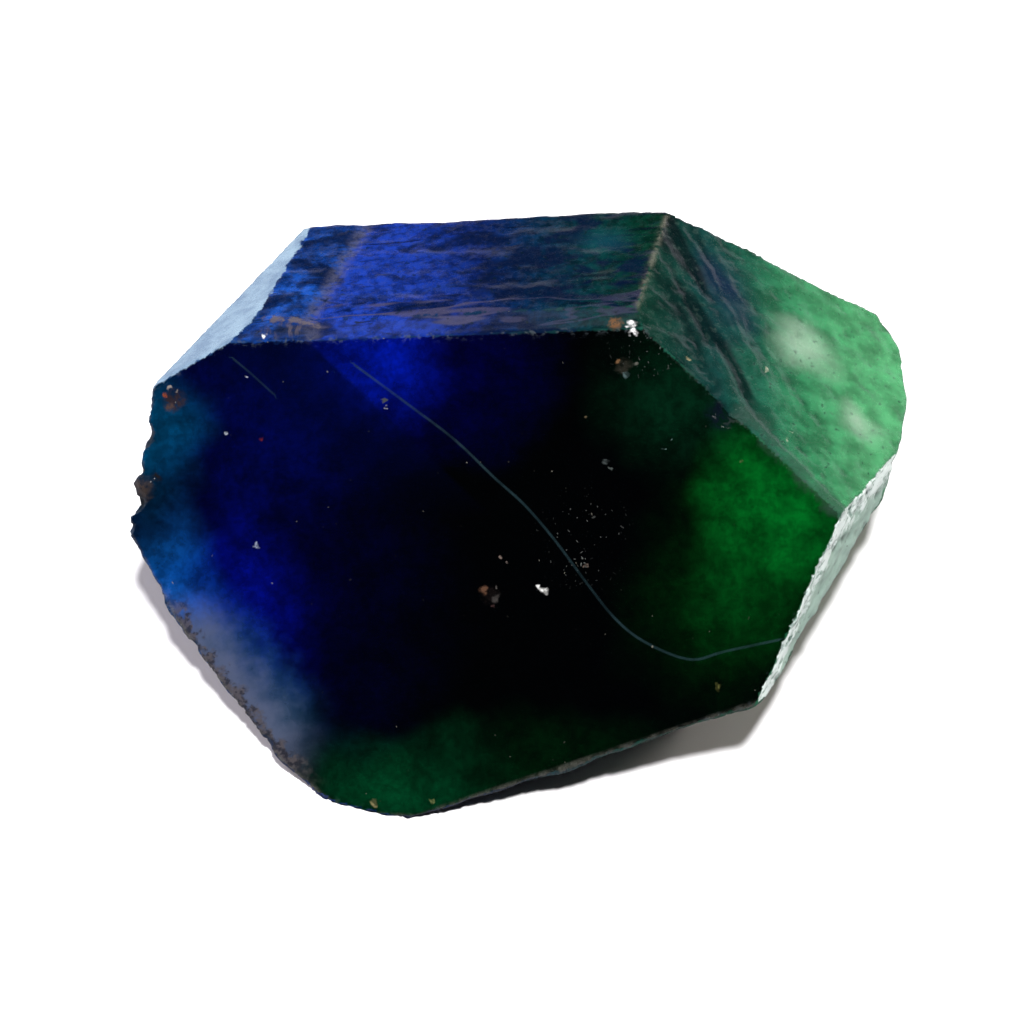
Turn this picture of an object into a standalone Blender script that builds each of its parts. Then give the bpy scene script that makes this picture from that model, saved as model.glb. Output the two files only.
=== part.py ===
"""A rough tourmaline crystal: a block cleaved along its natural faces, broken at one end and worn.

The stone lies on its flat base with its origin under its middle. +X runs along the stone from the blue end
to the green end, +Y goes to its back and +Z is up.
"""

import math

import bmesh
import bpy
import numpy as np
from mathutils import Matrix, Vector, noise

# Every length below is in millimetres, and the finished mesh is scaled to metres.
METRES_PER_MM = 0.001
BLOCK_SIDE = 60.0
HEART = np.array((0.1, 0.05, 3.5))

# Each face: the bearing and the lift of its outward normal in degrees, and how far it is from the heart.
FACES = {
    "table": (254.5, 61.5, 2.30),
    "strip": (141.0, 81.5, 4.52),
    "band": (107.5, 70.5, 5.26),
    "shoulder": (20.2, 60.6, 6.26),
    "pale": (140.5, 53.0, 8.43),
    "side_right": (331.0, 2.0, 10.05),
    "right_tip": (357.5, -9.5, 12.36),
    "tip_back": (24.5, -9.0, 14.12),
    "right_heel": (344.0, -9.5, 11.07),
    "left": (166.5, -6.0, 12.36),
    "back": (89.0, 4.5, 9.92),
    "back_left": (149.5, -17.5, 10.84),
    "back_right": (81.0, -7.0, 9.65),
    "under_left": (201.5, -27.0, 11.54),
    "under_cheek": (211.0, -27.0, 11.50),
    "under_toe": (226.5, -28.0, 11.86),
    "toe": (263.5, 5.0, 10.50),
    "under_front": (294.5, -37.5, 8.40),
    "under_right": (333.0, -42.0, 8.12),
    "base": (0.0, -90.0, 3.50),
}
# How round the edges are worn.
EDGE_WEAR = 0.07
WEAR_STEPS = 4

# The broken left end: bites out of the rim between the table and the left face. Each has its share of the
# way from the rim's back to its front, and a radius.
RIM_BACK = np.array((-12.45, 2.60, 5.55))
RIM_FRONT = np.array((-13.10, -2.05, 3.00))
RIM_BITES = ((0.10, 0.28), (0.30, 0.46), (0.51, 0.28), (0.70, 0.48), (0.88, 0.24))
RIM_OUTSIDE = np.array((-0.10, 0.02, 0.04))

# Single bites elsewhere: place and radius.
BITES = (
    ((-11.05, -5.10, 1.70), 0.34),
    ((-8.55, -8.05, 0.75), 0.30),
    ((6.45, 0.55, 7.65), 0.62),
    ((12.95, 1.65, 3.75), 0.34),
    ((8.35, -7.20, 3.50), 0.30),
    ((3.65, 5.55, 8.35), 0.24),
)

# Round hollows in the top faces: place, radius and depth.
HOLLOWS = (
    ((-1.11, -4.27, 3.68), 0.42, 0.13),
    ((6.12, -7.40, 3.09), 0.30, 0.10),
    ((3.24, 2.02, 7.60), 0.55, 0.08),
    ((9.30, 4.90, 4.90), 0.80, 0.07),
    ((11.10, 1.60, 4.50), 0.60, 0.08),
    ((-11.60, 2.20, 5.60), 0.50, 0.12),
)

# The seam where the blue left block grew against the rest, through three points of it, and how far that
# block stands up.
SEAM = (np.array((-5.54, 9.82, 5.18)), np.array((-6.93, 3.41, 6.86)), np.array((-4.72, 1.37, 6.11)))
SEAM_RISE = 0.09
SEAM_SLOPE_LENGTH = 0.25
SEAM_FADE_FRONT = -2.0
SEAM_FADE_LENGTH = 5.0

# Slanting ridges on the rough shoulder, with how many in each millimetre along and across them, and the
# raised lip along its lower edge.
RIDGE_START = np.array((4.74, 9.02, 6.49))
RIDGE_END = np.array((7.30, 2.06, 6.49))
RIDGE_REACH = 2.6
RIDGE_HEIGHT = 0.17
RIDGES_PER_MM = (0.18, 1.3)
LIP_START = np.array((6.92, 0.60, 6.97))
LIP_END = np.array((10.20, -2.89, 5.92))
LIP_WIDTH = 0.22
LIP_HEIGHT = 0.07

# Growth ledges along the band and, half as high, along the strip: their height, and how many in each
# millimetre along and across them.
LEDGE_HEIGHT = 0.10
LEDGES_PER_MM = (0.10, 1.5)

# Unevenness of each face: height, and bumps for each millimetre.
UNEVEN = {
    "table": (0.018, 0.25),
    "strip": (0.04, 0.9),
    "band": (0.05, 0.8),
    "shoulder": (0.07, 0.8),
    "pale": (0.02, 0.4),
    "side_right": (0.09, 1.4),
    "right_tip": (0.10, 0.8),
    "tip_back": (0.10, 0.8),
    "right_heel": (0.10, 0.8),
    "left": (0.24, 1.0),
    "back": (0.10, 0.6),
    "back_left": (0.12, 0.6),
    "back_right": (0.12, 0.6),
    "under_left": (0.14, 0.7),
    "under_cheek": (0.14, 0.7),
    "under_toe": (0.12, 0.7),
    "toe": (0.10, 0.8),
    "under_front": (0.16, 0.5),
    "under_right": (0.14, 0.5),
    "base": (0.0, 1.0),
}

# Scattered pits of the rough faces: how far apart they may be, their depth on each face, their radius as a
# share of the spacing, and how many places stay without one.
PIT_SPACING = 0.55
PITTED = {
    "shoulder": 0.09,
    "side_right": 0.12,
    "right_tip": 0.08,
    "left": 0.10,
    "back": 0.06,
    "back_right": 0.06,
}
PIT_RADIUS = 0.42
PIT_GAPS = 0.12
PIT_SHUFFLE = 3.7

# The surface is worked on a grid this fine, and then reduced to about this many triangles. What ends this
# near to the ground lies on it.
GRID = 0.16
TRIANGLES = 8600
BASE_SNAP = 0.03
SHARP_ANGLE = 32.0

NAMES = list(FACES)


def facing(bearing, lift):
    """The unit vector with this bearing and lift in degrees."""
    turn = math.radians(bearing)
    rise = math.radians(lift)
    return np.array((math.cos(rise) * math.cos(turn), math.cos(rise) * math.sin(turn), math.sin(rise)))


NORMALS = np.array([facing(bearing, lift) for bearing, lift, _ in FACES.values()])
OFFSETS = np.array([distance for _, _, distance in FACES.values()]) + NORMALS @ HEART


def bites():
    """Every bite as a centre and a radius."""
    rim = [(RIM_BACK + (RIM_FRONT - RIM_BACK) * way + RIM_OUTSIDE, radius) for way, radius in RIM_BITES]
    return rim + [(np.array(place), radius) for place, radius in BITES]


def clear_scene():
    for thing in list(bpy.data.objects):
        bpy.data.objects.remove(thing, do_unlink=True)


def new_collection(name):
    made = bpy.data.collections.new(name)
    bpy.context.scene.collection.children.link(made)
    return made


def cleaved_block(name, home):
    """A cube cut by each face's plane in turn."""
    bm = bmesh.new()
    bmesh.ops.create_cube(bm, size=BLOCK_SIDE)
    bmesh.ops.translate(bm, vec=Vector(HEART), verts=bm.verts)
    for normal, offset in zip(NORMALS, OFFSETS):
        whole = bm.verts[:] + bm.edges[:] + bm.faces[:]
        place = Vector(normal * offset)
        way_out = Vector(normal)
        bmesh.ops.bisect_plane(bm, geom=whole, dist=1e-5, plane_co=place, plane_no=way_out, clear_outer=True)
        rim = [edge for edge in bm.edges if edge.is_boundary]
        bmesh.ops.contextual_create(bm, geom=rim)
    bmesh.ops.recalc_face_normals(bm, faces=bm.faces)
    mesh = bpy.data.meshes.new(name)
    bm.to_mesh(mesh)
    bm.free()
    block = bpy.data.objects.new(name, mesh)
    home.objects.link(block)
    return block


def bite_cutter(index, centre, radius, home):
    bm = bmesh.new()
    bmesh.ops.create_icosphere(bm, subdivisions=3, radius=radius, matrix=Matrix.Translation(Vector(centre)))
    mesh = bpy.data.meshes.new(f"bite_{index}")
    bm.to_mesh(mesh)
    bm.free()
    cutter = bpy.data.objects.new(f"bite_{index}", mesh)
    cutter.hide_render = True
    cutter.display_type = "WIRE"
    home.objects.link(cutter)
    return cutter


def evaluated_mesh(thing):
    graph = bpy.context.evaluated_depsgraph_get()
    return bpy.data.meshes.new_from_object(thing.evaluated_get(graph), depsgraph=graph)


def replace_mesh(thing):
    """Make the result of an object's modifiers its own mesh."""
    made = evaluated_mesh(thing)
    thing.modifiers.clear()
    thing.data = made


def points_of(mesh):
    flat = np.empty(len(mesh.vertices) * 3, dtype=np.float32)
    mesh.vertices.foreach_get("co", flat)
    return flat.reshape(-1, 3).astype(np.float64)


def set_points(mesh, points):
    mesh.vertices.foreach_set("co", points.astype(np.float32).ravel())
    mesh.update()


def share_of_faces(points):
    """How much of each face holds at each point, how far out the point is, and the way out."""
    gaps = points @ NORMALS.T - OFFSETS
    slopes = [np.broadcast_to(normal, points.shape) for normal in NORMALS]
    columns = [gaps]
    for centre, radius in bites():
        away = points - centre
        length = np.linalg.norm(away, axis=1)
        columns.append((radius - length)[:, None])
        slopes.append(-away / length[:, None])
    gaps = np.hstack(columns)
    highest = gaps.max(axis=1, keepdims=True)
    weight = np.exp((gaps - highest) / EDGE_WEAR)
    total = weight.sum(axis=1, keepdims=True)
    outside = highest[:, 0] + EDGE_WEAR * np.log(total[:, 0])
    share = weight / total
    slope = sum(share[:, [i]] * slopes[i] for i in range(len(slopes)))
    return share, outside, slope


def wear_edges(points):
    """Move points onto the crystal with its edges and bites worn round."""
    for _ in range(WEAR_STEPS):
        _, outside, slope = share_of_faces(points)
        points = points - (outside / (slope ** 2).sum(axis=1))[:, None] * slope
    share, _, slope = share_of_faces(points)
    return points, share[:, :len(NAMES)], slope / np.linalg.norm(slope, axis=1)[:, None]


def uneven(points, per_mm, octaves):
    """Soft noise from about -1 to 1, with per_mm bumps for each millimetre along each axis."""
    return np.array([noise.fractal(Vector(spot), 1.0, 2.0, octaves) for spot in points * per_mm])


def fade(distance, reach):
    """1 at no distance, falling smoothly to 0 at the reach."""
    left = np.clip(1.0 - distance / reach, 0.0, 1.0)
    return left * left * (3.0 - 2.0 * left)


def distance_to_stretch(points, start, end):
    along = end - start
    way = np.clip((points - start) @ along / (along @ along), 0.0, 1.0)
    return np.linalg.norm(points - start - way[:, None] * along, axis=1)


def grain_noise(points, along, normal, per_mm):
    """Noise drawn out along one direction of a face, with bumps per millimetre along and across it."""
    along = along / np.linalg.norm(along)
    across = np.cross(normal, along)
    drawn = np.stack([points @ along * per_mm[0], points @ across * per_mm[1], points @ normal], axis=1)
    return uneven(drawn, 1.0, 2)


def seam_rise(points):
    """The left block stands a little above the rest along the seam, most at the back."""
    first, second, third = SEAM
    normal = np.cross(second - first, third - first)
    normal = normal / np.linalg.norm(normal)
    if normal[0] > 0:
        normal = -normal
    beyond = (points - first) @ normal
    step = np.clip(beyond / SEAM_SLOPE_LENGTH, 0.0, 1.0)
    lasting = np.clip((points[:, 1] - SEAM_FADE_FRONT) / SEAM_FADE_LENGTH, 0.0, 1.0)
    return SEAM_RISE * step * lasting


def pits(points):
    """Depth of the scattered pits, from 0 to 1."""
    depth = np.zeros(len(points))
    for i, spot in enumerate(points / PIT_SPACING):
        distances, centres = noise.voronoi(Vector(spot))
        chance = abs(noise.noise(centres[0] * PIT_SHUFFLE))
        if chance > PIT_GAPS:
            depth[i] = max(0.0, 1.0 - (distances[0] / PIT_RADIUS) ** 2)
    return depth


def relief(points, share):
    """Height of the grown and broken surface above the plain faces."""
    part = {name: share[:, i] for i, name in enumerate(NAMES)}
    height = np.zeros(len(points))
    for name, (rise, per_mm) in UNEVEN.items():
        if rise:
            height += part[name] * rise * uneven(points + OFFSETS[NAMES.index(name)], per_mm, 3)
    top = part["table"] + part["strip"] + part["band"] + part["pale"]
    height += top * seam_rise(points)
    band = NORMALS[NAMES.index("band")]
    long_edge = np.cross(NORMALS[NAMES.index("strip")], band)
    ledges = grain_noise(points, long_edge, band, LEDGES_PER_MM)
    height += (part["band"] + 0.5 * part["strip"]) * LEDGE_HEIGHT * ledges
    shoulder = NORMALS[NAMES.index("shoulder")]
    ridges = grain_noise(points, RIDGE_END - RIDGE_START, shoulder, RIDGES_PER_MM)
    near_ridge = fade(distance_to_stretch(points, RIDGE_START, RIDGE_END), RIDGE_REACH)
    height += part["shoulder"] * near_ridge * RIDGE_HEIGHT * ridges
    lip = fade(distance_to_stretch(points, LIP_START, LIP_END), LIP_WIDTH)
    height += (part["shoulder"] + part["table"]) * lip * LIP_HEIGHT
    pitted = sum(part[name] * depth for name, depth in PITTED.items())
    height -= pitted * pits(points)
    for place, radius, depth in HOLLOWS:
        height -= depth * fade(np.linalg.norm(points - np.array(place), axis=1), radius)
    return height


def reduce_triangles(thing):
    mesh = thing.data
    mesh.calc_loop_triangles()
    fewer = thing.modifiers.new("fewer", "DECIMATE")
    fewer.ratio = TRIANGLES / len(mesh.loop_triangles)
    fewer.use_collapse_triangulate = True
    replace_mesh(thing)


def settle_on_base(mesh):
    """Flatten the base and put the origin under the stone's middle."""
    points = points_of(mesh)
    points[:, 2] = np.where(points[:, 2] < BASE_SNAP, 0.0, points[:, 2])
    middle = (points.min(axis=0) + points.max(axis=0)) / 2
    points[:, :2] -= middle[:2]
    set_points(mesh, points)


def tourmaline_material():
    """Glassy green-blue, dark in the middle of the stone."""
    made = bpy.data.materials.new("tourmaline")
    made.use_nodes = True
    shader = made.node_tree.nodes["Principled BSDF"]
    shader.inputs["Base Color"].default_value = (0.005, 0.045, 0.075, 1.0)
    shader.inputs["Metallic"].default_value = 0.0
    shader.inputs["Roughness"].default_value = 0.28
    shader.inputs["IOR"].default_value = 1.63
    return made


def tourmaline():
    stone_home = new_collection("tourmaline")
    cutter_home = new_collection("cutters")
    stone = cleaved_block("tourmaline_crystal", stone_home)
    for index, (centre, radius) in enumerate(bites()):
        cut = stone.modifiers.new(f"bite_{index}", "BOOLEAN")
        cut.operation = "DIFFERENCE"
        cut.solver = "EXACT"
        cut.object = bite_cutter(index, centre, radius, cutter_home)
    skin = stone.modifiers.new("skin", "REMESH")
    skin.mode = "VOXEL"
    skin.voxel_size = GRID
    replace_mesh(stone)
    points, share, outward = wear_edges(points_of(stone.data))
    height = relief(points, share)
    set_points(stone.data, points + outward * height[:, None])
    reduce_triangles(stone)
    settle_on_base(stone.data)
    stone.data.transform(Matrix.Scale(METRES_PER_MM, 4))
    stone.data.name = stone.name
    stone.data.materials.clear()
    stone.data.materials.append(tourmaline_material())
    stone.data.shade_smooth()
    stone.data.set_sharp_from_angle(angle=math.radians(SHARP_ANGLE))


clear_scene()
tourmaline()
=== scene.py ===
"""The looks of the rough tourmaline: its worn and pitted surface, its colour zones, the light and the camera.

The stone's own lengths are in millimetres, and its mesh is scaled to metres at the end.
"""

import math

import bmesh
import bpy
import numpy as np
from mathutils import Matrix, Vector, noise


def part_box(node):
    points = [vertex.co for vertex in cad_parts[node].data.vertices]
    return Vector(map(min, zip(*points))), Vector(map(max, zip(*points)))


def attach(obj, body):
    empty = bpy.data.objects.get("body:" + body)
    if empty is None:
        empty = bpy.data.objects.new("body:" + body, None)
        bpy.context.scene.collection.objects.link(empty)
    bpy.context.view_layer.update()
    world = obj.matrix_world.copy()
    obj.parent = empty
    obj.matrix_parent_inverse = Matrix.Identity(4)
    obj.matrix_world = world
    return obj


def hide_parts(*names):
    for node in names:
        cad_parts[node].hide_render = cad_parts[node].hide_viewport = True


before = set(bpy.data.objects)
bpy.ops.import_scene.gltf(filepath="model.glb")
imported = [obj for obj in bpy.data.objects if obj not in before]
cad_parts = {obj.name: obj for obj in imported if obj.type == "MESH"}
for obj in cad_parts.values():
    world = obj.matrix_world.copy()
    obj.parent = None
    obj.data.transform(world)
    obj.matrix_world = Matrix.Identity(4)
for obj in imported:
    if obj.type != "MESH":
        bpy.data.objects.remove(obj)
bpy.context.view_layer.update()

METRES_PER_MM = 0.001
MM_PER_METRE = 1000.0
NODE = "tourmaline_crystal"

# Faces of the crystal, as in the part: bearing and lift of the outward normal, and distance from the heart.
BLOCK_SIDE = 60.0
HEART = np.array((0.1, 0.05, 3.5))
FACES = {
    "table": (254.5, 61.5, 2.30),
    "strip": (141.0, 81.5, 4.52),
    "band": (107.5, 70.5, 5.26),
    "shoulder": (20.2, 60.6, 6.26),
    "pale": (140.5, 53.0, 8.43),
    "side_right": (331.0, 2.0, 10.05),
    "right_tip": (357.5, -9.5, 12.36),
    "tip_back": (24.5, -9.0, 14.12),
    "right_heel": (344.0, -9.5, 11.07),
    "left": (166.5, -6.0, 12.36),
    "back": (89.0, 4.5, 9.92),
    "back_left": (149.5, -17.5, 10.84),
    "back_right": (81.0, -7.0, 9.65),
    "under_left": (201.5, -27.0, 11.54),
    "under_cheek": (211.0, -27.0, 11.50),
    "under_toe": (226.5, -28.0, 11.86),
    "toe": (263.5, 5.0, 10.50),
    "under_front": (294.5, -37.5, 8.40),
    "under_right": (333.0, -42.0, 8.12),
    "base": (0.0, -90.0, 3.50),
}
NAMES = list(FACES)
EDGE_WEAR = 0.022
WEAR_STEPS = 4
MERGE_DISTANCE = 1e-5
BITE_SUBDIVISIONS = 3

RIM_BACK = np.array((-12.45, 2.60, 5.55))
RIM_FRONT = np.array((-13.10, -2.05, 3.00))
RIM_BITES = ((0.10, 0.28), (0.30, 0.46), (0.51, 0.28), (0.70, 0.48), (0.88, 0.24))
RIM_OUTSIDE = np.array((-0.10, 0.02, 0.04))
BITES = (
    ((-11.05, -5.10, 1.70), 0.34),
    ((-8.55, -8.05, 0.75), 0.30),
    ((12.95, 1.65, 3.75), 0.34),
    ((8.35, -7.20, 3.50), 0.30),
    ((3.65, 5.55, 8.35), 0.24),
)
HOLLOWS = (
    ((-1.11, -4.27, 3.68), 0.42, 0.06),
    ((6.12, -7.40, 3.09), 0.30, 0.10),
    ((3.24, 2.02, 7.60), 0.55, 0.08),
    ((6.40, 0.42, 7.38), 0.75, 0.34),
    ((5.95, 1.10, 7.42), 0.40, 0.12),
    ((6.95, -0.35, 7.05), 0.35, 0.10),
    ((9.30, 4.90, 4.90), 0.80, 0.07),
    ((11.10, 1.60, 4.50), 0.60, 0.08),
    ((-11.60, 2.20, 5.60), 0.50, 0.12),
    ((3.50, 3.30, 8.17), 0.22, 0.07),
    ((3.42, 2.90, 8.10), 0.16, 0.05),
)
HOLLOW_REACH = 1.9
HOLLOW_RAGGED = 0.45
HOLLOW_PER_MM = 2.2
SCAR = (np.array((-8.63, 4.64, 6.62)), np.array((-6.95, 4.22, 6.86)))
SCAR_WIDTH = 0.20
SCAR_HEIGHT = 0.06
SEAM = (np.array((-5.54, 9.82, 5.18)), np.array((-6.93, 3.41, 6.86)), np.array((-4.72, 1.37, 6.11)))
SEAM_RISE = 0.09
SEAM_SLOPE_LENGTH = 0.25
SEAM_FADE_FRONT = -2.0
SEAM_FADE_LENGTH = 5.0
RIDGE_START = np.array((4.74, 9.02, 6.49))
RIDGE_END = np.array((7.30, 2.06, 6.49))
RIDGE_REACH = 2.6
RIDGE_HEIGHT = 0.17
RIDGES_PER_MM = (0.18, 1.3)
LIP_START = np.array((6.92, 0.60, 6.97))
LIP_END = np.array((10.20, -2.89, 5.92))
LIP_WIDTH = 0.22
LIP_HEIGHT = 0.07
LEDGE_HEIGHT = 0.045
LEDGES_PER_MM = (0.22, 1.1)
STRIP_LINED = 0.5
UNEVEN = {
    "table": (0.018, 0.25),
    "strip": (0.04, 0.9),
    "band": (0.05, 0.8),
    "shoulder": (0.07, 0.8),
    "pale": (0.02, 0.4),
    "side_right": (0.09, 1.4),
    "right_tip": (0.10, 0.8),
    "tip_back": (0.10, 0.8),
    "right_heel": (0.10, 0.8),
    "left": (0.24, 1.0),
    "back": (0.10, 0.6),
    "back_left": (0.12, 0.6),
    "back_right": (0.12, 0.6),
    "under_left": (0.14, 0.7),
    "under_cheek": (0.14, 0.7),
    "under_toe": (0.12, 0.7),
    "toe": (0.10, 0.8),
    "under_front": (0.16, 0.5),
    "under_right": (0.14, 0.5),
    "base": (0.0, 1.0),
}
PIT_SPACING = 0.55
PIT_RADIUS = 0.42
PIT_GAPS = 0.28
PIT_SHUFFLE = 3.7
PITTED = {
    "shoulder": 0.055,
    "side_right": 0.10,
    "right_tip": 0.08,
    "left": 0.10,
    "back": 0.06,
    "back_right": 0.06,
}
BASE_SNAP = 0.03

# The mesh's grid, and finer relief than the part has: fine growth lines, small pits and roughness.
GRID = 0.121
FINE_LINE_HEIGHT = 0.002
FINE_LINES_PER_MM = (0.5, 3.2)
SMALL_PIT_SPACING = 0.26
SMALL_PITTED = {"shoulder": 0.030, "side_right": 0.05, "right_tip": 0.05, "tip_back": 0.05, "left": 0.05}
ROUGH_HEIGHT = 0.007
ROUGH_PER_MM = 3.0

# Growth ribs along the stone on its broken back and undersides.
RIBBED = (
    "right_tip", "tip_back", "right_heel", "back", "back_left", "back_right",
    "under_left", "under_cheek", "under_toe", "toe", "under_front", "under_right",
)
RIB_AXIS = np.array((0.94, 0.30, 0.16))
RIB_HEIGHT = 0.12
RIBS_PER_MM = (0.25, 0.95)

# The crust in the bites, and the brown lump on the left rim.
BITTEN_HEIGHT = 0.12
BITTEN_PER_MM = 2.6
KNOB = (-12.45, -0.30, 4.00)
KNOB_RADIUS = 0.60
KNOB_HEIGHT = 0.24

# A share of the surface below these is left out of a relief.
LEAST_SHARE = 0.002
LEAST_PITTED = 0.001
LEAST_ROUGH = 0.01

# The healed cracks across the table.
CRACK = (
    (-5.68, 2.73, 6.68),
    (-4.03, 1.52, 6.28),
    (-2.40, 0.29, 5.88),
    (-1.11, -0.91, 5.44),
    (-0.14, -1.76, 5.13),
    (0.82, -2.83, 4.71),
    (1.77, -4.05, 4.22),
    (2.72, -5.19, 3.75),
    (3.67, -5.94, 3.50),
    (5.09, -6.54, 3.39),
    (6.19, -6.39, 3.63),
    (7.92, -6.18, 3.99),
)
SMALL_CRACK = ((-9.63, 3.19, 6.35), (-9.05, 2.72, 6.18), (-8.30, 2.06, 5.95))
CURVE_STEPS = 4

# Faces whose share of the surface the colours read, and how far a distance is kept for them.
COLOURED = ("table", "strip", "band", "shoulder", "pale", "side_right", "base", "bitten")
EDGE_GAIN = 4.0
OUTSIDE = 0.2
FAR = 3.0
RIM_FAR = 5.0
LINE_FAR = 2.0

# Camera: it looks along +Y from a height of 55 degrees, and its frame is this wide at the stone.
CAMERA_LIFT = math.radians(55.0)
CAMERA_DISTANCE = 100.0
FRAME_WIDTH = 33.2
SENSOR = 36.0
CLIP_START = 0.001
TARGET = (-0.4, -1.45, 4.3)


def facing(bearing, lift):
    """The unit vector with this bearing and lift in degrees."""
    turn = math.radians(bearing)
    rise = math.radians(lift)
    return np.array((math.cos(rise) * math.cos(turn), math.cos(rise) * math.sin(turn), math.sin(rise)))


NORMALS = np.array([facing(bearing, lift) for bearing, lift, _ in FACES.values()])
OFFSETS = np.array([distance for _, _, distance in FACES.values()]) + NORMALS @ HEART


def bites():
    """Centre and radius of each bite, those along the rim first."""
    rim = [(RIM_BACK + (RIM_FRONT - RIM_BACK) * way + RIM_OUTSIDE, radius) for way, radius in RIM_BITES]
    return rim + [(np.array(place), radius) for place, radius in BITES]


def cleaved_block(name):
    """A cube cut by each face's plane in turn."""
    bm = bmesh.new()
    bmesh.ops.create_cube(bm, size=BLOCK_SIDE)
    bmesh.ops.translate(bm, vec=Vector(HEART), verts=bm.verts)
    for normal, offset in zip(NORMALS, OFFSETS):
        whole = bm.verts[:] + bm.edges[:] + bm.faces[:]
        plane = {"plane_co": Vector(normal * offset), "plane_no": Vector(normal)}
        bmesh.ops.bisect_plane(bm, geom=whole, dist=MERGE_DISTANCE, clear_outer=True, **plane)
        rim = [edge for edge in bm.edges if edge.is_boundary]
        bmesh.ops.contextual_create(bm, geom=rim)
    bmesh.ops.recalc_face_normals(bm, faces=bm.faces)
    mesh = bpy.data.meshes.new(name)
    bm.to_mesh(mesh)
    bm.free()
    block = bpy.data.objects.new(name, mesh)
    bpy.context.scene.collection.objects.link(block)
    return block


def ball(name, centre, radius):
    bm = bmesh.new()
    place = Matrix.Translation(Vector(centre))
    bmesh.ops.create_icosphere(bm, subdivisions=BITE_SUBDIVISIONS, radius=radius, matrix=place)
    mesh = bpy.data.meshes.new(name)
    bm.to_mesh(mesh)
    bm.free()
    made = bpy.data.objects.new(name, mesh)
    bpy.context.scene.collection.objects.link(made)
    return made


def replace_mesh(thing):
    """Make the result of an object's modifiers its own mesh."""
    graph = bpy.context.evaluated_depsgraph_get()
    made = bpy.data.meshes.new_from_object(thing.evaluated_get(graph), depsgraph=graph)
    thing.modifiers.clear()
    thing.data = made


def points_of(mesh):
    flat = np.empty(len(mesh.vertices) * 3, dtype=np.float32)
    mesh.vertices.foreach_get("co", flat)
    return flat.reshape(-1, 3).astype(np.float64)


def set_points(mesh, points):
    mesh.vertices.foreach_set("co", points.astype(np.float32).ravel())
    mesh.update()


def share_of_faces(points):
    """How much of each face and bite holds at each point, how far out the point is, and the way out."""
    gaps = points @ NORMALS.T - OFFSETS
    slopes = [np.broadcast_to(normal, points.shape) for normal in NORMALS]
    columns = [gaps]
    for centre, radius in bites():
        away = points - centre
        length = np.linalg.norm(away, axis=1)
        columns.append((radius - length)[:, None])
        slopes.append(-away / length[:, None])
    gaps = np.hstack(columns)
    highest = gaps.max(axis=1, keepdims=True)
    weight = np.exp((gaps - highest) / EDGE_WEAR)
    total = weight.sum(axis=1, keepdims=True)
    outside = highest[:, 0] + EDGE_WEAR * np.log(total[:, 0])
    share = weight / total
    slope = sum(share[:, [i]] * slopes[i] for i in range(len(slopes)))
    return share, outside, slope


def wear_edges(points):
    """The points moved onto the surface with worn edges, with each face's share and the way out there."""
    for _ in range(WEAR_STEPS):
        _, outside, slope = share_of_faces(points)
        points = points - (outside / (slope ** 2).sum(axis=1))[:, None] * slope
    share, _, slope = share_of_faces(points)
    return points, share, slope / np.linalg.norm(slope, axis=1)[:, None]


def uneven(points, per_mm, octaves):
    """Soft noise at each point, above and below 0."""
    return np.array([noise.fractal(Vector(spot), 1.0, 2.0, octaves) for spot in points * per_mm])


def fade(distance, reach):
    """1 at no distance, falling smoothly to 0 at the reach."""
    left = np.clip(1.0 - distance / reach, 0.0, 1.0)
    return left * left * (3.0 - 2.0 * left)


def distance_to_stretch(points, start, end):
    along = end - start
    way = np.clip((points - start) @ along / (along @ along), 0.0, 1.0)
    return np.linalg.norm(points - start - way[:, None] * along, axis=1)


def side_of_line(points, corners, normal):
    """Distance to a line through several points, below 0 on its right and above 0 on its left."""
    corners = [np.array(corner) for corner in corners]
    stretches = list(zip(corners, corners[1:]))
    distances = np.array([distance_to_stretch(points, a, b) for a, b in stretches])
    sides = np.array([np.cross(normal, b - a) @ (points - a).T for a, b in stretches])
    nearest = distances.argmin(axis=0)
    every = np.arange(len(points))
    return distances[nearest, every] * np.sign(sides[nearest, every])


def rounded_line(corners):
    """A smooth curve through the corners of a line, as short stretches."""
    corners = [2.0 * np.array(corners[0]) - np.array(corners[1])] + [np.array(corner) for corner in corners]
    corners.append(2.0 * corners[-1] - corners[-2])
    curve = []
    for before, start, end, after in zip(corners, corners[1:], corners[2:], corners[3:]):
        for way in np.arange(CURVE_STEPS) / CURVE_STEPS:
            bend = (2.0 * before - 5.0 * start + 4.0 * end - after) * way ** 2
            turn = (3.0 * start - before - 3.0 * end + after) * way ** 3
            curve.append(start + ((end - before) * way + bend + turn) / 2.0)
    curve.append(corners[-2])
    return curve


def grain_noise(points, along, normal, per_mm):
    """Unevenness drawn out along a direction of a face, with its own rates along and across."""
    along = along / np.linalg.norm(along)
    across = np.cross(normal, along)
    drawn = np.stack([points @ along * per_mm[0], points @ across * per_mm[1], points @ normal], axis=1)
    return uneven(drawn, 1.0, 2)


def beyond_seam(points):
    """Distance from the seam, above 0 on the blue left block, and how strongly the seam shows there."""
    first, second, third = SEAM
    normal = np.cross(second - first, third - first)
    normal = normal / np.linalg.norm(normal)
    if normal[0] > 0:
        normal = -normal
    lasting = np.clip((points[:, 1] - SEAM_FADE_FRONT) / SEAM_FADE_LENGTH, 0.0, 1.0)
    return (points - first) @ normal, lasting


def pits(points, spacing):
    """How deep in a pit each point is, from 0 to 1, with gaps in the pattern."""
    depth = np.zeros(len(points))
    for i, spot in enumerate(points / spacing):
        distances, centres = noise.voronoi(Vector(spot))
        chance = abs(noise.noise(centres[0] * PIT_SHUFFLE))
        if chance > PIT_GAPS:
            depth[i] = max(0.0, 1.0 - (distances[0] / PIT_RADIUS) ** 2)
    return depth


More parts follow.
